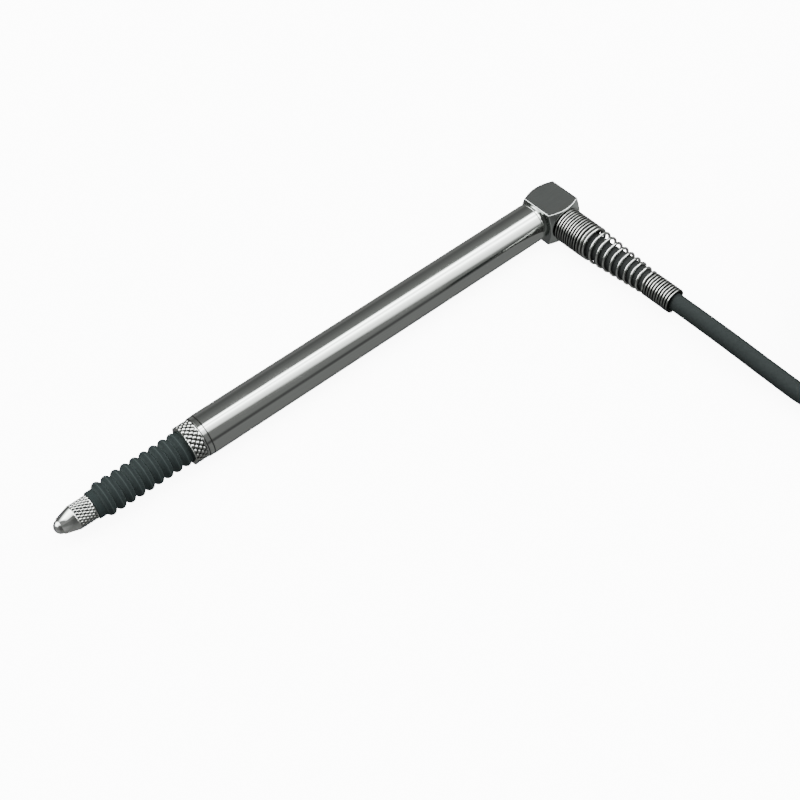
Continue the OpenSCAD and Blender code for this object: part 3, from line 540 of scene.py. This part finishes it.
def knurl(start, end, radius, spacing):
    """Rows of a knurl, sixteen to a diamond, that run out over three rows at both ends."""
    step = spacing / 16
    first, last = math.ceil(start / step), math.floor(end / step)
    rows = [(start, radius, 0.0)]
    for i in range(first + 1, last):
        rows.append((i * step, radius, min(1.0, (i - first) / 3, (last - i) / 3)))
    return rows + [(end, radius, 0.0)]


# The shank: a ground tube with finely broken edges, and painted shade on its end faces and edges where it
# meets the ring and the neck
shank = turned("clamping_shank", [
    (-SHANK_END, BORE_R, 0.0, 1.0), (-SHANK_END, SHANK_R - 0.3, 0.0, 1.0),
    (-SHANK_END + 0.05, SHANK_R - 0.07, 0.0, 1.0), (-SHANK_END + 0.1, SHANK_R),
    (SHANK_END - 0.1, SHANK_R), (SHANK_END - 0.05, SHANK_R - 0.07, 0.0, 0.6),
    (SHANK_END, SHANK_R - 0.3, 0.0, 1.0), (SHANK_END, BORE_R, 0.0, 1.0),
    (-SHANK_END, BORE_R, 0.0, 1.0)], GROUND, segments=256, sharp=50)
settle(shank, "housing", "ground_steel", "body_tube")

# The nose bush: a spigot in the shank, the ring in front of it, and the seat of the gaiter and collar.
# The ring's faces and edges carry painted shade where it meets the collar and the shank.
SPOUT_FRONT, SPOUT_R, SPOUT_BORE_R = -42.9, 2.45, 1.6
RING_R = 3.95
bush = turned("flanged_bush", [
    (SPOUT_FRONT, SPOUT_BORE_R), (SPOUT_FRONT, SPOUT_R - 0.12), (SPOUT_FRONT + 0.12, SPOUT_R),
    (RING_FRONT, SPOUT_R), (RING_FRONT, RING_R - 0.25, 0.0, 1.0),
    (RING_FRONT + 0.05, RING_R - 0.05, 0.0, 1.0), (RING_FRONT + 0.1, RING_R), (-39.6, RING_R),
    (-39.55, RING_R - 0.05, 0.0, 1.0), (-SHANK_END, BORE_R, 0.0, 1.0), (-SHANK_END, SPIGOT_R),
    (-28.5, SPIGOT_R), (-28.5, 2.3), (-39.2, 2.3), (-39.2, SPOUT_BORE_R),
    (SPOUT_FRONT, SPOUT_BORE_R)], GROUND, sharp=30)
settle(bush, "housing", "ground_steel", "nose_bush")

# The knurled collar that clamps the gaiter, with painted shade in its grooves and on its rear edge by the
# ring
COLLAR_DIAMOND, COLLAR_BORE_R = 1.1, 3.2
collar = turned("clamp_collar", [
    (COLLAR_FRONT, COLLAR_BORE_R), (COLLAR_FRONT, 3.62), (COLLAR_FRONT + 0.02, 3.7)]
    + knurl(COLLAR_FRONT + 0.06, RING_FRONT - 0.12, 3.85, COLLAR_DIAMOND)
    + [(RING_FRONT - 0.05, 3.82, 0.0, 0.6), (RING_FRONT, 3.65, 0.0, 1.0),
       (RING_FRONT, COLLAR_BORE_R, 0.0, 1.0), (COLLAR_FRONT, COLLAR_BORE_R)],
    KNURLED, segments=440, diamonds=22, spacing=COLLAR_DIAMOND, depth=0.26, sharp=60)
settle(collar, "housing", "knurled_steel", "knurled_collar")

# The contact tip: the ball's seat, a cone, a knurled grip and the screw into the plunger, with painted
# shade in the grip's grooves
TIP_DIAMOND, SCREW_R = 1.13, 0.98
tip = turned("screwed_tip", [
    (-67.1, 0.0), (-67.1, 1.3), (-68.62, 1.46), (-68.68, 1.51), (-68.66, 1.57), (-66.14, 2.3),
    (-66.05, 2.34)]
    + knurl(-66.0, GAITER_FRONT - 0.08, 2.375, TIP_DIAMOND)
    + [(GAITER_FRONT - 0.02, 2.34), (GAITER_FRONT, 2.28), (GAITER_FRONT, 2.25), (-60.6, 2.25),
       (-60.6, SCREW_R), (-56.6, SCREW_R), (-56.6, 0.0)],
    KNURLED, segments=368, diamonds=23, spacing=TIP_DIAMOND, depth=0.2, sharp=60)
settle(tip, "plunger", "knurled_steel", "contact_tip")

# The gaiter: a cuff on the tip, the bellows that the plunger squeezes, and a tuck under the collar
FOLDS, FOLD_STEPS = 9, 16
FOLDS_FRONT, FOLDS_REAR = GAITER_FRONT + 1.4, COLLAR_FRONT - 0.15
CREST_R, FOLD_DEPTH, RUBBER_T = 3.3, 0.72, 0.35


def fold_line(inset):
    """The bellows' line: round crests, sharp valleys, and a last fold that the collar cuts short. The
    mark is a painted highlight, a thin pale line on each crest, and painted light that lifts the shade
    in the valleys."""
    line = []
    for i in range(FOLDS * FOLD_STEPS - 1):
        off = abs(i % FOLD_STEPS / (FOLD_STEPS / 2) - 1)
        if i > FOLDS * FOLD_STEPS - FOLD_STEPS / 2:
            off = min(off, 0.81)
        x = FOLDS_FRONT + (FOLDS_REAR - FOLDS_FRONT) * i / (FOLDS * FOLD_STEPS)
        # A painted highlight on each crest, and painted light that lifts the valleys' shade
        crest_highlight, valley_light = 0.7 - off * 6, off * 1.6 - 0.85
        line.append((x, CREST_R - FOLD_DEPTH * off ** 2.3 - inset, 0.0, max(crest_highlight, valley_light, 0.0)))
    return line + [(COLLAR_FRONT - 0.02 + inset * 0.3, CREST_R - 0.4 - inset)]


cuff = turned("gaiter_cuff", [
    (GAITER_FRONT + 0.02, 2.27), (GAITER_FRONT + 0.02, 2.6), (GAITER_FRONT + 0.07, 2.65),
    (FOLDS_FRONT + 0.05, 2.65), (FOLDS_FRONT + 0.05, 2.3), (GAITER_FRONT + 0.02, 2.27)],
    GAITER, segments=128)
settle(cuff, "plunger", "gaiter_rubber")
bellows = turned("gaiter_folds", fold_line(0) + fold_line(RUBBER_T)[::-1] + fold_line(0)[:1],
                 GAITER, segments=160, sharp=60)
settle(bellows, "housing", "gaiter_rubber", "gaiter")
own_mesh(bellows)
tuck = turned("gaiter_tuck", [
    (COLLAR_FRONT - 0.1, 2.9), (COLLAR_FRONT - 0.1, 3.18), (RING_FRONT - 0.02, 3.18),
    (RING_FRONT - 0.02, 2.47), (RING_FRONT - 2.4, 2.47), (COLLAR_FRONT + 0.1, 2.9),
    (COLLAR_FRONT - 0.1, 2.9)], GAITER, segments=128)
settle(tuck, "housing", "gaiter_rubber")


def elbow_rings(half=3.9, far=3.9, near=ELBOW_FACE_Y, edge=0.16, bore_r=2.3, bore_depth=2.4, blend=60):
    """The square block as rings round the cable's axis. The flats, and the cones that a lathe cut on both
    ends, blend into each other, so that every edge is a small rounding that catches the light."""
    corners = [90 * q + 45 + side * d for q in range(4) for side in (-1, 1)
               for d in (0.4, 0.8, 1.2, 1.8, 2.4)]
    degrees = np.radians(sorted(set(np.arange(0, 360, 1.5).tolist() + corners)))
    across, up = np.cos(degrees), np.sin(degrees)
    flats = half / (np.abs(across) ** blend + np.abs(up) ** blend) ** (1 / blend)
    depths = [0.0, 0.04, 0.1] + [edge + 0.04 * i for i in range(28)] + [1.5, 2.2, 3.2]
    # A cone's radius over its depth: the rounded edge, the block's corners, then far outside the block
    cone_depths = [0.0, edge, 1.0, 9.0]
    cone_radii = [half - edge, half + edge, half * math.sqrt(2), 19.4]
    ends = []
    for end, inward in ((far, -1), (near, 1)):
        rings = []
        for depth in depths:
            cone = np.interp(depth, cone_depths, cone_radii)
            radius = (flats ** -blend + cone ** -blend) ** (-1 / blend)
            rings.append(np.stack([ELBOW_X + radius * across, np.full_like(radius, end + inward * depth),
                                   radius * up], 1))
        ends.append(rings)
    bottom = near + bore_depth
    back, *bore = [np.stack([ELBOW_X + r * across, np.full_like(across, y), r * up], 1)
                   for r, y in ((0.0, far), (bore_r, near), (bore_r, bottom), (0.0, bottom))]
    return [back] + ends[0] + ends[1][::-1] + bore


# The elbow: the block, and the neck that carries it in the shank, with the seal's groove
settle(lofted("square_elbow", elbow_rings(), MILLED), "housing", "elbow_steel", "elbow_block")
NECK_FRONT, NECK_REAR, NECK_BORE_R = 36.0, 42.0, 2.5
GROOVE_FRONT, GROOVE_REAR, GROOVE_R = 37.354, 38.146, 2.92
# The rim's face and broken edge carry painted shade where the shank ends
neck = turned("elbow_neck", [
    (NECK_FRONT, NECK_BORE_R), (NECK_FRONT, SPIGOT_R - 0.08), (NECK_FRONT + 0.08, SPIGOT_R),
    (GROOVE_FRONT, SPIGOT_R), (GROOVE_FRONT, GROOVE_R), (GROOVE_REAR, GROOVE_R),
    (GROOVE_REAR, SPIGOT_R), (SHANK_END, SPIGOT_R), (SHANK_END, RING_R - 0.25, 0.0, 1.0),
    (SHANK_END + 0.05, RING_R - 0.05, 0.0, 0.6), (SHANK_END + 0.1, RING_R), (SHANK_END + 0.42, RING_R),
    (SHANK_END + 0.5, RING_R - 0.08), (SHANK_END + 0.5, 3.45), (NECK_REAR, 3.45),
    (NECK_REAR, NECK_BORE_R), (NECK_FRONT, NECK_BORE_R)], GROUND, sharp=30)
settle(neck, "housing", "elbow_steel")

# The strain relief: close turns on the gland, an eased stretch, open ones, and close ones on the cable
relief_spring = wound(
    "strain_relief_spring", [(8.9, 0.62), (2.5, 0.8), (6, 1.73), (3.1, 1.5), (10.2, 0.62)],
    wide=3.235, narrow=2.185, wire=0.3, material=DRAWN,
    placed=Matrix.Translation(Vector((ELBOW_X, -5.4, 0)) * MM) @ Matrix.Rotation(math.pi / 2, 4, "X"))
settle(relief_spring, "housing", "spring_steel", "strain_spring")

# A dark rubber sleeve round the cable inside the spring, which lies on the spring's lower side. It wraps
# the cable, and its bulk below the cable is painted shade, a dark body that fills the spring's shaded
# lower side. A ring is its place along Y, its radius, and how far it lies off the axis.
SHADE_SLEEVE = ((-10.2, 0.0, 0.45), (-10.2, 2.3, 0.45), (-12, 2.45, 0.42), (-14, 2.5, 0.35), (-16, 2.4, 0.33),
          (-20, 2.38, 0.12), (-24, 2.2, 0.02), (-28, 1.9, 0.0), (-28, 0.0, 0.0))
turn_by = np.radians(np.arange(0, 360, 9))
sleeve = lofted("shade_sleeve", [
    np.stack([ELBOW_X - 0.9 * off + r * np.cos(turn_by), np.full_like(turn_by, y),
              -0.44 * off + r * np.sin(turn_by)], 1) for y, r, off in SHADE_SLEEVE], SEAL)
settle(sleeve, "housing", "seal_rubber")

# The return spring: a close turn at each end and eight open ones, between the ends of its solid
PUSH_WIRE_R, PUSH_CLOSE_PITCH, PUSH_LENGTH, PUSH_SEAT = 0.15, 0.33, 15.8, -11
push_low, push_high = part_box("return_spring")
coiled = (push_high[0] - push_low[0]) / MM - 2 * PUSH_WIRE_R
open_pitch = (coiled - 2 * PUSH_CLOSE_PITCH) / 8
push_spring = wound(
    "push_spring", [(1, PUSH_CLOSE_PITCH), (4, open_pitch), (4, open_pitch), (0, 0), (1, PUSH_CLOSE_PITCH)],
    wide=2.45, narrow=2.45, wire=PUSH_WIRE_R, material=DRAWN, steps=32,
    placed=Matrix.Translation(Vector((push_low[0] + PUSH_WIRE_R * MM, 0, 0)))
    @ Matrix.Rotation(math.pi / 2, 4, "Y"))
settle(push_spring, "housing", "spring_steel", "return_spring")
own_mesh(push_spring)


def strap_rings(corner=1.2, half_angle=9.0, ribs=14):
    """A woven strap round the coil's turns, as rings set side by side round the coil's axis. Every other
    ring lies a little lower, so that ribs run along the tape."""
    inner = (COIL_R - COIL_HALF_WIDTH - 0.015, FLOOR_Z + STRAP_T)
    outer = (COIL_R + COIL_HALF_WIDTH + 0.015, inner[1] + 4 * CABLE_D + 2 * STRAP_GAP)

    def loop(grow):
        """The strap's section, grown by that much, as radius and height."""
        bend = corner + grow
        centres = [(outer[0] - corner, outer[1] - corner), (inner[0] + corner, outer[1] - corner),
                   (inner[0] + corner, inner[1] + corner), (outer[0] - corner, inner[1] + corner)]
        return [(r + bend * math.cos(t), z + bend * math.sin(t)) for q, (r, z) in enumerate(centres)
                for t in np.radians(np.linspace(90 * q, 90 * q + 90, 9))]

    ridge, selvage = half_angle - 0.2, STRAP_T - 0.12
    skin = [(half_angle, 0.0), (half_angle, selvage)]
    skin += [(ridge - 2 * ridge * i / (2 * ribs), STRAP_T - 0.09 * (i % 2)) for i in range(2 * ribs + 1)]
    skin += [(-half_angle, selvage), (-half_angle, 0.0), (half_angle, 0.0)]
    rings = []
    for degrees, grow in skin:
        a = math.radians(90 + degrees)
        rings.append(np.array([(COIL_X + r * math.cos(a), COIL_Y + r * math.sin(a), z)
                               for r, z in loop(grow)]))
    return rings


strap = settle(lofted("cable_strap", strap_rings(), TAPE), "housing", "strap_fabric", "coil_tie")

cable = settle(cable_curve(), "housing", "cable_jacket", "cable", "cable_coil", "cable_tail")
cable.data.materials.append(JACKET)


# Floor, world and lights

def lay_floor(flat=1.6, bend=1.2, rise=1.8, steps=96):
    """A matte pale sweep, a flat floor that turns up into a wall all round, with its sizes in metres. The
    steel doesn't mirror it, as the photo's shank shows grey below."""
    profile = [(0.01, 0.0), (flat / 2, 0.0)]
    profile += [(flat + bend * math.sin(t), bend - bend * math.cos(t))
                for t in np.radians(np.arange(0, 91, 6))]
    profile.append((flat + bend, rise))
    turns = [2 * math.pi * i / steps for i in range(steps)]
    spots = [(r * math.cos(a), r * math.sin(a), FLOOR_Z * MM + z) for r, z in profile for a in turns]
    faces = [tuple(range(steps))]
    faces += [(k * steps + i, (k + 1) * steps + i, (k + 1) * steps + (i + 1) % steps,
               k * steps + (i + 1) % steps) for k in range(len(profile) - 1) for i in range(steps)]
    mesh = bpy.data.meshes.new("studio_floor")
    mesh.from_pydata(spots, [], faces)
    mesh.shade_smooth()
    floor = bpy.data.objects.new("studio_floor", mesh)
    bpy.context.scene.collection.objects.link(floor)
    floor.visible_glossy = floor.visible_diffuse = floor.visible_shadow = False
    # Matte paper, lit so strongly that it turns an even white behind the part
    paper = surface("lit paper sweep", ("#F4F4F4", "#F8F8F8"), (0.85, 0.95), (0.2, 0.2, 0.2), patch=0.01,
                    values={"Emission Color": srgb("#FFFFFF"), "Emission Strength": 9.0})
    floor.data.materials.append(paper)


def by_angle(*stops):
    """Stops given by their angle round X, from -180 to 180 degrees, as places from 0 to 1."""
    return [((angle + 180) / 360, bright) for angle, bright in stops]


# How bright the window is from its low edge to its high one, and how bright the room is round X. The
# left ones lie towards -X, where the tip, collar and spring mirror them, and the right ones towards +X,
# where the shank does.
BRIGHTEST = 16.0
WINDOW_LEFT = [(0.0, 0.0), (0.1, 1.0), (0.2, 4.0), (0.3, 8.0), (0.42, 11.0), (0.6, 8.0), (0.76, 6.0),
               (0.9, 3.5), (0.96, 1.2), (1.0, 0.0)]
WINDOW_RIGHT = [(0.0, 0.0), (0.03, 0.5), (0.09, 5.0), (0.158, 15.0), (0.224, 11.0), (0.29, 5.0),
                (0.355, 6.5), (0.42, 12.0), (0.487, 8.5), (0.553, 5.0), (0.62, 4.0), (0.69, 3.0),
                (0.8, 2.5), (0.88, 1.6), (0.94, 0.5), (1.0, 0.0)]
ROOM_LEFT = by_angle(
    (-180, 0.26), (-150, 0.12), (-128, 0.15), (-89, 0.16), (-76, 0.16), (-40, 0.2), (15, 0.2), (38, 0.2),
    (47, 0.13), (54, 0.12), (84, 0.12), (97, 0.15), (112, 0.2), (150, 0.24), (180, 0.26))
ROOM_RIGHT = by_angle(
    (-180, 0.2), (-150, 0.12), (-135, 0.14), (-116, 0.25), (-100, 0.24), (-84, 0.24), (-74, 0.17),
    (-64, 0.14), (-54, 0.155), (-38, 0.2), (-26, 0.24), (-12, 0.27), (10, 0.3), (56, 0.25), (78, 0.24),
    (84, 0.2), (89, 0.1), (94, 0.075), (99, 0.15), (104, 0.25), (160, 0.24), (180, 0.18))


def shades(tree, level, stops):
    """Levels of light along a line from 0 to 1."""
    ramp = add(tree, "ShaderNodeValToRGB", {"Fac": level})
    for i, (at, bright) in enumerate(stops):
        new = 0 < i < len(stops) - 1
        stop = ramp.color_ramp.elements.new(at) if new else ramp.color_ramp.elements[-1 if i else 0]
        stop.position = at
        stop.color = (bright / BRIGHTEST,) * 3 + (1.0,)
    return add(tree, "ShaderNodeMath", {0: ramp, 1: BRIGHTEST}, operation="MULTIPLY")


def light_world():
    """What the steel mirrors: a grey room and one big soft window overhead. Both are laid out by the
    angle round X, in degrees from overhead towards -Y, because all of the shank's line that faces one
    such angle mirrors the same shade. The window lies askew: towards +X both its edges move to -Y. The
    room is brighter at both its ends."""
    world = bpy.data.worlds.new("studio_room")
    bpy.context.scene.world = world
    world.use_nodes = True
    tree = world.node_tree
    tree.nodes.clear()
    look = add(tree, "ShaderNodeSeparateXYZ", {
        "Vector": add(tree, "ShaderNodeTexCoord").outputs["Generated"]})
    along = look.outputs["X"]
    outwards = add(tree, "ShaderNodeMath", {0: along}, operation="ABSOLUTE")
    near = add(tree, "ShaderNodeMath", {0: look.outputs["Y"], 1: -1.0}, operation="MULTIPLY")
    turned_by = add(tree, "ShaderNodeMath", {0: near, 1: look.outputs["Z"]}, operation="ARCTAN2")
    angle = add(tree, "ShaderNodeMath", {0: turned_by}, operation="DEGREES")
    side = add(tree, "ShaderNodeMapRange", {"Value": along, "From Min": -0.2, "From Max": 0.1})

    low = add(tree, "ShaderNodeMapRange", {"Value": along, "From Min": -0.3, "From Max": 0.2,
                                           "To Min": -76.0, "To Max": -10.0})
    first = add(tree, "ShaderNodeMapRange", {"Value": along, "From Min": -0.45, "From Max": 0.24,
                                             "To Min": 16.0, "To Max": 46.0})
    second = add(tree, "ShaderNodeMapRange", {"Value": along, "From Min": 0.24, "From Max": 0.6,
                                              "To Min": 0.0, "To Max": 40.0})
    high = add(tree, "ShaderNodeMath", {0: first, 1: second}, operation="ADD")
    across = add(tree, "ShaderNodeMapRange", {"Value": angle, "From Min": low, "From Max": high})
    pane = add(tree, "ShaderNodeMix", {"Factor": side, "A": shades(tree, across, WINDOW_LEFT),
                                       "B": shades(tree, across, WINDOW_RIGHT)}, data_type="FLOAT")
    reach = add(tree, "ShaderNodeMapRange", {"Value": outwards, "From Min": 0.8, "From Max": 0.88,
                                             "To Min": 1.0, "To Max": 0.0})
    window = add(tree, "ShaderNodeMath", {0: pane, 1: reach}, operation="MULTIPLY")

    around = add(tree, "ShaderNodeMapRange", {"Value": angle, "From Min": -180.0, "From Max": 180.0})
    room = add(tree, "ShaderNodeMix", {"Factor": side, "A": shades(tree, around, ROOM_LEFT),
                                       "B": shades(tree, around, ROOM_RIGHT)}, data_type="FLOAT")
    ends = add(tree, "ShaderNodeMapRange", {"Value": outwards, "From Min": 0.62, "From Max": 0.85,
                                            "To Min": 1.0, "To Max": 1.7})
    walls = add(tree, "ShaderNodeMath", {0: room, 1: ends}, operation="MULTIPLY")

    light = add(tree, "ShaderNodeMath", {0: walls, 1: window}, operation="ADD")
    shine = add(tree, "ShaderNodeBackground", {"Color": srgb("#FDFFFD"), "Strength": light})
    add(tree, "ShaderNodeOutputWorld", {"Surface": shine})


def hang_light(name, place, size, radiance):
    """A soft box that faces the origin with one side along X. Its place and size are in metres, and it is
    as bright as its radiance. It lights matte pieces, and the steel mirrors only the world."""
    data = bpy.data.lights.new(name, "AREA")
    data.shape = "RECTANGLE"
    data.size, data.size_y = size
    data.energy = radiance * math.pi * size[0] * size[1]
    light = bpy.data.objects.new(name, data)
    bpy.context.scene.collection.objects.link(light)
    back = Vector(place).normalized()
    long_side = (Vector((1, 0, 0)) - back * back.x).normalized()
    facing = Matrix((long_side, back.cross(long_side), back)).transposed().to_4x4()
    light.matrix_world = Matrix.Translation(place) @ facing
    light.visible_glossy = False


lay_floor()
light_world()
hang_light("overhead_fill", (0.0, 0.0, 1.4), (2.2, 2.2), 0.5)
# What the pale floor throws back up at matte rubber
hang_light("floor_bounce", (-0.1, -0.9, -0.5), (1.4, 1.4), 2.6)
